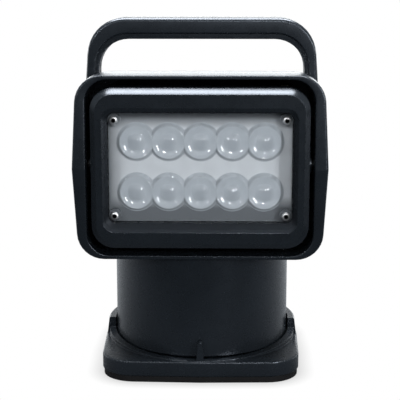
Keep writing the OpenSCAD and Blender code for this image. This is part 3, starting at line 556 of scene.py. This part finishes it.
@dataclass(frozen=True)
class PolishedLens:
    """Moulded lens over a silvered seat: a grey body under a polished skin."""

    name: str
    body: str
    deep: str
    core: str
    roughness: float
    ior: float
    flatness: float = 6.0
    core_centre: tuple[float, float, float] = (0.5, 0.0, 0.46)
    core_reach: tuple[float, float] = (0.1, 0.26)
    core_share: float = 0.8
    cloud_mm: float = 6.0
    clouding: float = 0.6
    ripple_mm: float = 4.0
    ripple_depth_mm: float = 0.003
    gloss_patch_mm: float = 2.0
    unevenness: float = 0.012

    def heart(self, g: Graph) -> Any:
        """Give the share of the dark heart, where the unlit emitter shows through the lens."""
        reach = g.off_axis(g.add("TexCoord", out="Generated"), self.core_centre)
        return g.add("MapRange", (reach, *self.core_reach, self.core_share, 0.0))

    def material(self) -> bpy.types.Material:
        """Make the material.

        Returns:
            A cloudy grey body, lit evenly from its flat seat, that carries small sharp highlights.
        """
        g = Graph(bpy.data.materials.new(self.name))
        cloud = g.grain(self.cloud_mm, (0.0, self.clouding))
        pale, deep = linear(self.body), linear(self.deep)
        cloudy = g.add("Mix", {"Factor_Float": cloud, "A_Color": pale, "B_Color": deep}, **COLOURS)
        heart = {"Factor_Float": self.heart(g), "A_Color": cloudy, "B_Color": linear(self.core)}
        seat = g.lean(g.add("NewGeometry", out="Normal"), self.flatness)
        body = g.add("BsdfDiffuse", {"Color": g.add("Mix", heart, **COLOURS), "Normal": seat})
        height, depth = g.grain(self.ripple_mm), self.ripple_depth_mm * MM
        ripple = g.add("Bump", {"Height": height, "Distance": depth})
        polish = g.grain(self.gloss_patch_mm, (self.roughness, self.roughness + self.unevenness))
        skin = g.add("BsdfGlossy", {"Roughness": polish, "Normal": ripple})
        share = g.add("Fresnel", {"IOR": self.ior, "Normal": ripple})
        return g.surface(g.add("MixShader", (share, body, skin)))


# Satin black ABS: dark fronts, pale glancing sheen on tops and silhouettes
BLACK_ABS: dict[str, Any] = {
    "colour": "#0E1216",
    "worn": "#181D22",
    "roughness": 0.275,
    "grain_mm": 0.8,
    "grain_depth_mm": 0.0004,
    "sheen": "#E4EFFF",
    "unevenness": 0.015,
}
# Grains and tool marks are drawn coarser than the real ones, which are too fine to show
FINISHES: dict[str, Finish] = {
    "black_abs": Moulded("satin_black_ABS_moulded", **BLACK_ABS),
    # Rubber: matt and near black, so that it reads softer than the plastic
    "rubber": Moulded("black_rubber_moulded", "#08080A", "#121213", 0.72, 0.8, 0.03, 0.5, 0.25),
    # Stainless: small bright heads and pins
    "stainless_steel": Worked("stainless_steel_turned", "#C9CCD0", 0.2, Lay.TURNED),
    # Zinc plate: duller, slightly yellow motor cans
    "motor_steel": Worked("zinc_plated_steel_drawn", "#A7A69F", 0.32, Lay.BRUSHED),
    # Brass: warm inserts and nut
    "brass": Worked("brass_turned", "#C39A4C", 0.25, Lay.TURNED),
    # Bronze: porous bearing with oil-dark grain
    "bearing_bronze": Worked("bronze_sintered", "#8E5F36", 0.42, Lay.CAST, 0.3, 0.02),
    # Nylon: waxy natural gear
    "gear_nylon": Moulded("natural_nylon_moulded", "#D9D3C2", "#EFEADB", 0.4, 0.6, 0.01, 0.25),
    # Aluminium: grey pressed plate and cast fins
    "aluminium": Worked("aluminium_die_cast", "#A3A8AE", 0.38, Lay.CAST, 0.5, 0.02),
    # Board: green lacquer over weave
    "circuit_board": Moulded("circuit_board_lacquered", "#1B5132", "#2A6B45", 0.3, 0.7, 0.02, 0.2),
    # Cover: clear with a pale glancing sheen
    "clear_polycarbonate": ClearSheet("polycarbonate_clear_polished", "#FAFBFC", 1.58, 0.02),
    # Optic plate: soft silver between and round the lenses, with painted shade towards its rim
    "frosted_optic": SilverTray("acrylic_plate_silvered", "#DCDFE2", "#6C7074", 0.42),
    # LED: yellow phosphor under silicone
    "led_phosphor": Moulded("phosphor_silicone_cast", "#D9B659", "#E7CD86", 0.25, 0.4, 0.01, 0.2),
}
# Cover screws: bright rings round sockets with painted shade inside
COVER_SCREWS = SocketHead("stainless_steel_socket_heads", "#E2E4E6", 0.4, Lay.TURNED)
# Pivots: near-black steel. The dark colour is painted shade, so that they stay dark in the gaps
# beside the bezel
PIVOTS = Worked("steel_pivot_painted_shade", "#16171A", 0.45, Lay.TURNED)
# Bezel: the same satin black, matt on the sill so that it mirrors little of the optics
BEZEL = BezelMoulding("satin_black_ABS_matt_sill", **BLACK_ABS)
# Lens: grey and cloudy under a hard coat, with sharp glints from the lights of the studio. The IOR
# is raised from acrylic's 1.49 to strengthen them
LENS = PolishedLens("acrylic_lens_hard_coated", "#C3C9CE", "#B7BDC3", "#ADB3B9", 0.02, 1.8)


@dataclass
class Palette:
    """Materials by slot, each made once."""

    made: dict[str, bpy.types.Material] = field(default_factory=dict)

    def get(self, slot: str) -> bpy.types.Material:
        """Give the material of a slot.

        Args:
            slot: material slot of the record.

        Returns:
            Its material.
        """
        if slot not in self.made:
            self.made[slot] = FINISHES[slot].material()
            LOG.info("finish %s", slot)
        return self.made[slot]


def soften(obj: bpy.types.Object, sharp_deg: float) -> None:
    """Shade a CAD node smooth over its curves and sharp at its edges.

    Args:
        obj: the node.
        sharp_deg: faces that meet at more than this stay sharp.
    """
    custom = obj.data.attributes.get("custom_normal")
    if custom is not None:
        obj.data.attributes.remove(custom)
    obj.data.polygons.foreach_set("use_smooth", [True] * len(obj.data.polygons))
    weld = obj.modifiers.new("weld", "WELD")
    weld.merge_threshold = WELD_MM * MM
    split = obj.modifiers.new("sharp", "EDGE_SPLIT")
    split.split_angle = math.radians(sharp_deg)
    flats = obj.modifiers.new("flats", "WEIGHTED_NORMAL")
    flats.weight = FACE_WEIGHT
    flats.keep_sharp = True


def new_mesh(
    name: str, points: list[Vector], faces: list[tuple[int, ...]], smooth: bool = True
) -> bpy.types.Object:
    """Make an object from points and faces.

    Args:
        name: name of the object.
        points: its points in metres.
        faces: its faces as point numbers.
        smooth: shade it smooth.

    Returns:
        The linked object.
    """
    mesh = bpy.data.meshes.new(name)
    mesh.from_pydata([tuple(p) for p in points], [], faces)
    shell = bmesh.new()
    shell.from_mesh(mesh)
    bmesh.ops.remove_doubles(shell, verts=shell.verts, dist=JOIN_M)
    bmesh.ops.recalc_face_normals(shell, faces=shell.faces)
    shell.to_mesh(mesh)
    shell.free()
    mesh.polygons.foreach_set("use_smooth", [smooth] * len(mesh.polygons))
    obj = bpy.data.objects.new(name, mesh)
    bpy.context.scene.collection.objects.link(obj)
    LOG.info("piece %s: %d faces", name, len(mesh.polygons))
    return obj


def circle(steps: int) -> list[tuple[float, float]]:
    """List the cosine and sine of evenly spaced angles round a unit circle."""
    angles = [2 * math.pi * i / steps for i in range(steps)]
    return [(math.cos(a), math.sin(a)) for a in angles]


def rounded_pane(
    half_w: float, half_h: float, radius: float, steps: int
) -> list[tuple[float, float]]:
    """Outline a rectangle with round corners.

    Args:
        half_w: half of its width.
        half_h: half of its height.
        radius: radius of its corners.
        steps: number of points, a multiple of four.

    Returns:
        Points about its centre.
    """
    turn = circle(steps)
    points: list[tuple[float, float]] = []
    for quarter, (sx, sz) in enumerate([(1, 1), (-1, 1), (-1, -1), (1, -1)]):
        cx, cz = sx * (half_w - radius), sz * (half_h - radius)
        for i in range(steps // 4 + 1):
            c, s = turn[(quarter * steps // 4 + i) % steps]
            points.append((cx + radius * c, cz + radius * s))
    return points


@dataclass
class SubAssembly:
    """A group of CAD nodes on one body, and the pieces built on it."""

    palette: Palette
    body: Body
    sharp_deg: float = 32.0

    def nodes(self) -> Iterable[str]:
        """Name the group's CAD nodes."""
        return frame["record"]["behaviour"]["bodies"][self.body.value]

    def dress(self) -> None:
        """Give each CAD node its finish and its shading."""
        slots = {s["node"]: s["material_slot"] for s in frame["record"]["subparts"]}
        for name in self.nodes():
            obj = frame["nodes"][name]
            obj.data.materials.clear()
            obj.data.materials.append(self.palette.get(slots[name]))
            soften(obj, self.sharp_deg)
            LOG.info("dressed %s as %s", name, slots[name])

    def build(self) -> None:
        """Add the pieces that the solids leave out, if there are any."""

    def put(self, obj: bpy.types.Object, material: bpy.types.Material, slot: str) -> None:
        """Finish a built piece and let it ride the body.

        Args:
            obj: the piece.
            material: its material.
            slot: material slot of the record; not used.
        """
        obj.data.materials.append(material)
        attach(obj, self.body.value)


@dataclass
class Base(SubAssembly):
    """Fixed base that stands on the deck."""

    body: Body = Body.BASE


@dataclass
class Turret(SubAssembly):
    """Drum and head that pan on the base."""

    body: Body = Body.TURRET


@dataclass
class Lamp(SubAssembly):
    """Tilting lamp: its optic plate carries two rows of stepped lenses behind the clear cover."""

    body: Body = Body.LAMP
    pitch_mm: float = 20.3
    row_pitch_mm: float = 32.3
    columns: int = 5
    lens_r_mm: float = 12.6
    shoulder_r_mm: float = 10.0
    rim_mm: float = 0.1
    seat_mm: float = 0.1
    dish_mm: float = 1.7
    dish_start_mm: float = 5.1
    dish_rate: float = 0.072
    crown_mm: float = 3.8
    dome_r_mm: float = 8.0
    squareness: int = 3
    plate_mm: float = 2.0
    plate_corner_mm: float = 3.7
    boss_r_mm: float = 4.0
    boss_gap_mm: float = 0.3
    screw_mm: tuple[float, float] = (54.4, 30.6)
    rings: int = 46
    spokes: int = 96
    outline_steps: int = 48

    def centres(self) -> list[tuple[float, float, int]]:
        """List each lens's X and Z about the lamp's centre, in millimetres, and its column."""
        middle, half, row = (self.columns - 1) / 2, self.row_pitch_mm / 2, range(self.columns)
        return [((i - middle) * self.pitch_mm, side * half, i) for side in (1, -1) for i in row]

    def limit(self, angle: float, column: int) -> float:
        """Give a lens's reach in one direction, cut where it meets its neighbour.

        Args:
            angle: direction about the lens's axis.
            column: place of the lens in its row.

        Returns:
            The reach in millimetres.
        """
        side = math.cos(angle)
        free = (side > 0 and column == self.columns - 1) or (side < 0 and column == 0)
        if free or abs(side) < 1e-6:
            return self.lens_r_mm
        return min(self.lens_r_mm, self.pitch_mm / 2 / abs(side))

    def lift(self, x: float, z: float) -> float:
        """Give the lens's height at one point: a squarish dome, a dish and a rounded shoulder.

        Args:
            x: distance from the axis to the right, in millimetres.
            z: distance from the axis upwards.

        Returns:
            The height above the plate in millimetres.
        """
        r, power = math.hypot(x, z), self.squareness
        square = min((abs(x) ** power + abs(z) ** power) ** (1 / power), self.dome_r_mm)
        dome = self.crown_mm - self.dome_r_mm + math.sqrt(self.dome_r_mm**2 - square**2)
        inner = min(r, self.shoulder_r_mm)
        dish = self.dish_mm + self.dish_rate * max(inner - self.dish_start_mm, 0.0) ** 2
        if r > self.shoulder_r_mm:
            share = min((r - self.shoulder_r_mm) / (self.lens_r_mm - self.shoulder_r_mm), 1.0)
            dish = self.rim_mm + (dish - self.rim_mm) * (1.0 + math.cos(math.pi * share)) / 2
        return max(dome, dish)

    def lens(self, centre: tuple[float, float, int], origin: Vector) -> bpy.types.Object:
        """Build one lens, closed down to the plate.

        Args:
            centre: X, Z and column of the lens.
            origin: centre of the plate's face.

        Returns:
            The lens.
        """
        x0, z0, column = centre
        points: list[Vector] = []
        for ring in range(self.rings + 1):
            for spoke in range(self.spokes):
                angle = 2 * math.pi * spoke / self.spokes
                r = self.limit(angle, column) * ring / self.rings
                x, z = r * math.cos(angle), r * math.sin(angle)
                points.append(origin + Vector((x0 + x, -self.lift(x, z), z0 + z)) * MM)
        n = self.spokes
        rim = self.rings * n
        points += [Vector((p.x, origin.y + self.seat_mm * MM, p.z)) for p in points[rim:]]
        faces: list[tuple[int, ...]] = []
        for row in range(self.rings + 1):
            for spoke in range(n):
                a, b = row * n + spoke, row * n + (spoke + 1) % n
                faces.append((a, b, b + n, a + n))
        faces.append(tuple(range(rim + n, rim + 2 * n)))
        return new_mesh(f"lens_{'upper' if z0 > 0 else 'lower'}_{column + 1}", points, faces)

    def plate(self, low: Vector, high: Vector, face_y: float) -> bpy.types.Object:
        """Build the optic plate with its four screw bosses.

        Args:
            low: lowest corner of the solid that it stands for.
            high: highest corner of it.
            face_y: place of the plate's face.

        Returns:
            The plate.
        """
        half_w, half_h = (high.x - low.x) / 2, (high.z - low.z) / 2
        centre = Vector(((low.x + high.x) / 2, 0.0, (low.z + high.z) / 2))
        pane = rounded_pane(half_w, half_h, self.plate_corner_mm * MM, self.outline_steps)
        outlines = [(pane, centre, face_y, high.y)]
        boss_r, boss_y = self.boss_r_mm * MM, low.y + self.boss_gap_mm * MM
        boss = [(boss_r * c, boss_r * s) for c, s in circle(self.outline_steps)]
        for sx in (-1, 1):
            for sz in (-1, 1):
                at = centre + Vector((sx * self.screw_mm[0], 0.0, sz * self.screw_mm[1])) * MM
                outlines.append((boss, at, boss_y, face_y))
        points: list[Vector] = []
        faces: list[tuple[int, ...]] = []
        for outline, at, front, back in outlines:
            n, first = len(outline), len(points)
            points += [Vector((at.x + x, y, at.z + z)) for y in (front, back) for x, z in outline]
            faces += [tuple(range(first, first + n)), tuple(range(first + n, first + 2 * n))]
            for i in range(n):
                a, b = first + i, first + (i + 1) % n
                faces.append((a, b, b + n, a + n))
        return new_mesh("optic_plate", points, faces, smooth=False)

    def dress(self) -> None:
        """Dress the nodes, and those of them that carry a finish of their own."""
        super().dress()
        frame["nodes"]["lamp_bezel"].data.materials[0] = BEZEL.material()
        frame["nodes"]["cover_screws"].data.materials[0] = COVER_SCREWS.material()
        dark = PIVOTS.material()
        for name in ("pivot_pin_left", "pivot_pin_right"):
            frame["nodes"][name].data.materials[0] = dark

    def build(self) -> None:
        """Build the optic plate and its ten lenses in place of the plain solid."""
        low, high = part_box("lens_array")
        face_y = high.y - self.plate_mm * MM
        origin = Vector(((low.x + high.x) / 2, face_y, (low.z + high.z) / 2))
        plate = self.plate(low, high, face_y)
        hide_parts("lens_array")
        self.put(plate, self.palette.get("frosted_optic"), "frosted_optic")
        skin = LENS.material()
        for centre in self.centres():
            self.put(self.lens(centre, origin), skin, "frosted_optic")


@dataclass
class PanDrive(SubAssembly):
    """Gear drive that turns the turret."""

    body: Body = Body.PAN_DRIVE


@dataclass
class TiltDrive(SubAssembly):
    """Gear drive that turns the lamp."""

    body: Body = Body.TILT_DRIVE


@dataclass(frozen=True)
class SoftBox:
    """One soft light, with its place, size and aim in metres."""

    name: str
    place: tuple[float, float, float]
    size: tuple[float, float]
    watts: float
    aim: tuple[float, float, float] = (0.0, -0.06, 0.14)

    def hang(self) -> None:
        """Hang the light and turn it to its aim."""
        data = bpy.data.lights.new(self.name, "AREA")
        data.shape = "RECTANGLE"
        data.size, data.size_y = self.size
        data.energy = self.watts
        obj = bpy.data.objects.new(self.name, data)
        obj.location = self.place
        way = Vector(self.aim) - Vector(self.place)
        obj.rotation_euler = way.to_track_quat("-Z", "Y").to_euler()
        bpy.context.scene.collection.objects.link(obj)
        LOG.info("light %s", self.name)


# The overhead box lights the tops, the front one the optics, and the other three make the glints
SOFT_BOXES = (
    SoftBox("overhead", (0.0, 0.12, 1.3), (1.1, 0.8), 71.0, aim=(0.0, 0.05, 0.1)),
    SoftBox("front", (0.0, -1.3, 0.9), (1.6, 0.8), 4.0),
    SoftBox("key", (0.69, -1.06, 0.42), (0.18, 0.4), 7.0),
    SoftBox("left", (-0.61, -1.06, 0.58), (0.1, 0.1), 2.4),
    SoftBox("upper", (0.13, -1.25, 0.52), (0.1, 0.1), 2.4),
)


@dataclass
class Studio:
    """Pale floor, soft light and the camera at the photograph's angle."""

    distance_mm: float = 766.7
    height_mm: float = 263.5
    pitch_deg: float = 11.534
    azimuth_deg: float = 1.073
    focal_px: float = 1147.5
    picture_px: float = 400.0
    shift_px: float = 1.8
    sensor_mm: float = 36.0
    clip_m: float = 0.01
    floor_m: float = 6.0
    floor_z_mm: float = -0.2
    floor_near: str = "#2A2C2E"
    floor_far: str = "#74777A"
    floor_blend_m: tuple[float, float] = (-0.25, 0.25)
    shadow_mm: float = 12.0
    shadow: float = 0.72
    open_sky: tuple[float, float] = (0.5, 1.0)
    front: float = 0.08
    sides: float = 0.6
    side_band: tuple[float, float] = (0.3, 0.9)
    sky: float = 0.25
    horizon: float = 3.5
    glow_band: tuple[float, float] = (0.06, 0.25)
    back_band: tuple[float, float] = (0.2, 0.8)
    tint: tuple[float, float, float, float] = (0.95, 0.98, 1.0, 1.0)

    def camera(self) -> None:
        """Place the camera."""
        data = bpy.data.cameras.new("camera")
        data.sensor_width = self.sensor_mm
        data.lens = self.focal_px * self.sensor_mm / self.picture_px
        data.shift_x = -self.shift_px / self.picture_px
        data.clip_start = self.clip_m
        obj = bpy.data.objects.new("camera", data)
        bpy.context.scene.collection.objects.link(obj)
        turn, reach = math.radians(self.azimuth_deg), self.distance_mm * MM
        obj.location = (reach * math.sin(turn), -reach * math.cos(turn), self.height_mm * MM)
        obj.rotation_euler = (math.radians(90 - self.pitch_deg), 0, turn)
        bpy.context.scene.camera = obj

    def floor(self) -> None:
        """Lay the floor: white with a contact shadow to the camera, grey to everything else."""
        half, z = self.floor_m / 2, self.floor_z_mm * MM
        sides = ((-half, -half), (half, -half), (half, half), (-half, half))
        corners = [Vector((x, y, z)) for x, y in sides]
        obj = new_mesh("floor", corners, [(0, 1, 2, 3)], smooth=False)
        g = Graph(bpy.data.materials.new("paper_floor"))
        back = g.add("MapRange", (g.place("Y"), *self.floor_blend_m, 0.0, 1.0))
        near, far = linear(self.floor_near), linear(self.floor_far)
        tone = g.add("Mix", {"Factor_Float": back, "A_Color": near, "B_Color": far}, **COLOURS)
        paper = g.add("BsdfDiffuse", {"Color": tone})
        # Close to a wall half of the sky is hidden, and far from it none
        reach = {"Distance": self.shadow_mm * MM}
        sky = g.add("AmbientOcclusion", reach, "AO", samples=SHADE_RAYS)
        bright = g.add("MapRange", (sky, *self.open_sky, self.shadow, 1.0))
        white = g.add("Emission", {"Color": WHITE, "Strength": bright})
        seen = g.add("LightPath", out="Is Camera Ray")
        obj.data.materials.append(g.surface(g.add("MixShader", (seen, paper, white))))

    def world(self) -> None:
        """Make the surround white to the camera, bright behind the part and dim before it."""
        g = Graph(bpy.data.worlds.new("surround"))
        bpy.context.scene.world = g.owner
        way = g.add("TexCoord", out="Generated")
        x, y, z = (g.add("SeparateXYZ", (way,), axis) for axis in "XYZ")
        behind = g.add("MapRange", (y, *self.back_band, 0.0, 1.0))
        glow = g.add("MapRange", (z, *self.glow_band, self.horizon, self.sky))
        across = g.add("Math", (x,), operation="ABSOLUTE")
        beside = g.add("MapRange", (across, *self.side_band, self.front, self.sides))
        strength = g.add("Math", (behind, glow, beside), operation="MULTIPLY_ADD")
        soft = g.add("Background", {"Color": self.tint, "Strength": strength})
        white = g.add("Background", {"Color": WHITE, "Strength": 1.0})
        seen = g.add("LightPath", out="Is Camera Ray")
        g.add("OutputWorld", (g.add("MixShader", (seen, soft, white)),))

    def build(self) -> None:
        """Set the whole studio."""
        self.camera()
        self.floor()
        self.world()
        for box in SOFT_BOXES:
            box.hang()
        bpy.context.scene.view_settings.view_transform = "Standard"


def main() -> None:
    """Dress the part, build its optics and set the studio."""
    logging.basicConfig(level=logging.INFO)
    palette = Palette()
    groups: list[SubAssembly] = [
        Base(palette),
        Turret(palette),
        Lamp(palette),
        PanDrive(palette),
        TiltDrive(palette),
    ]
    for group in groups:
        group.dress()
        group.build()
    Studio().build()


if __name__ == "__main__":
    main()
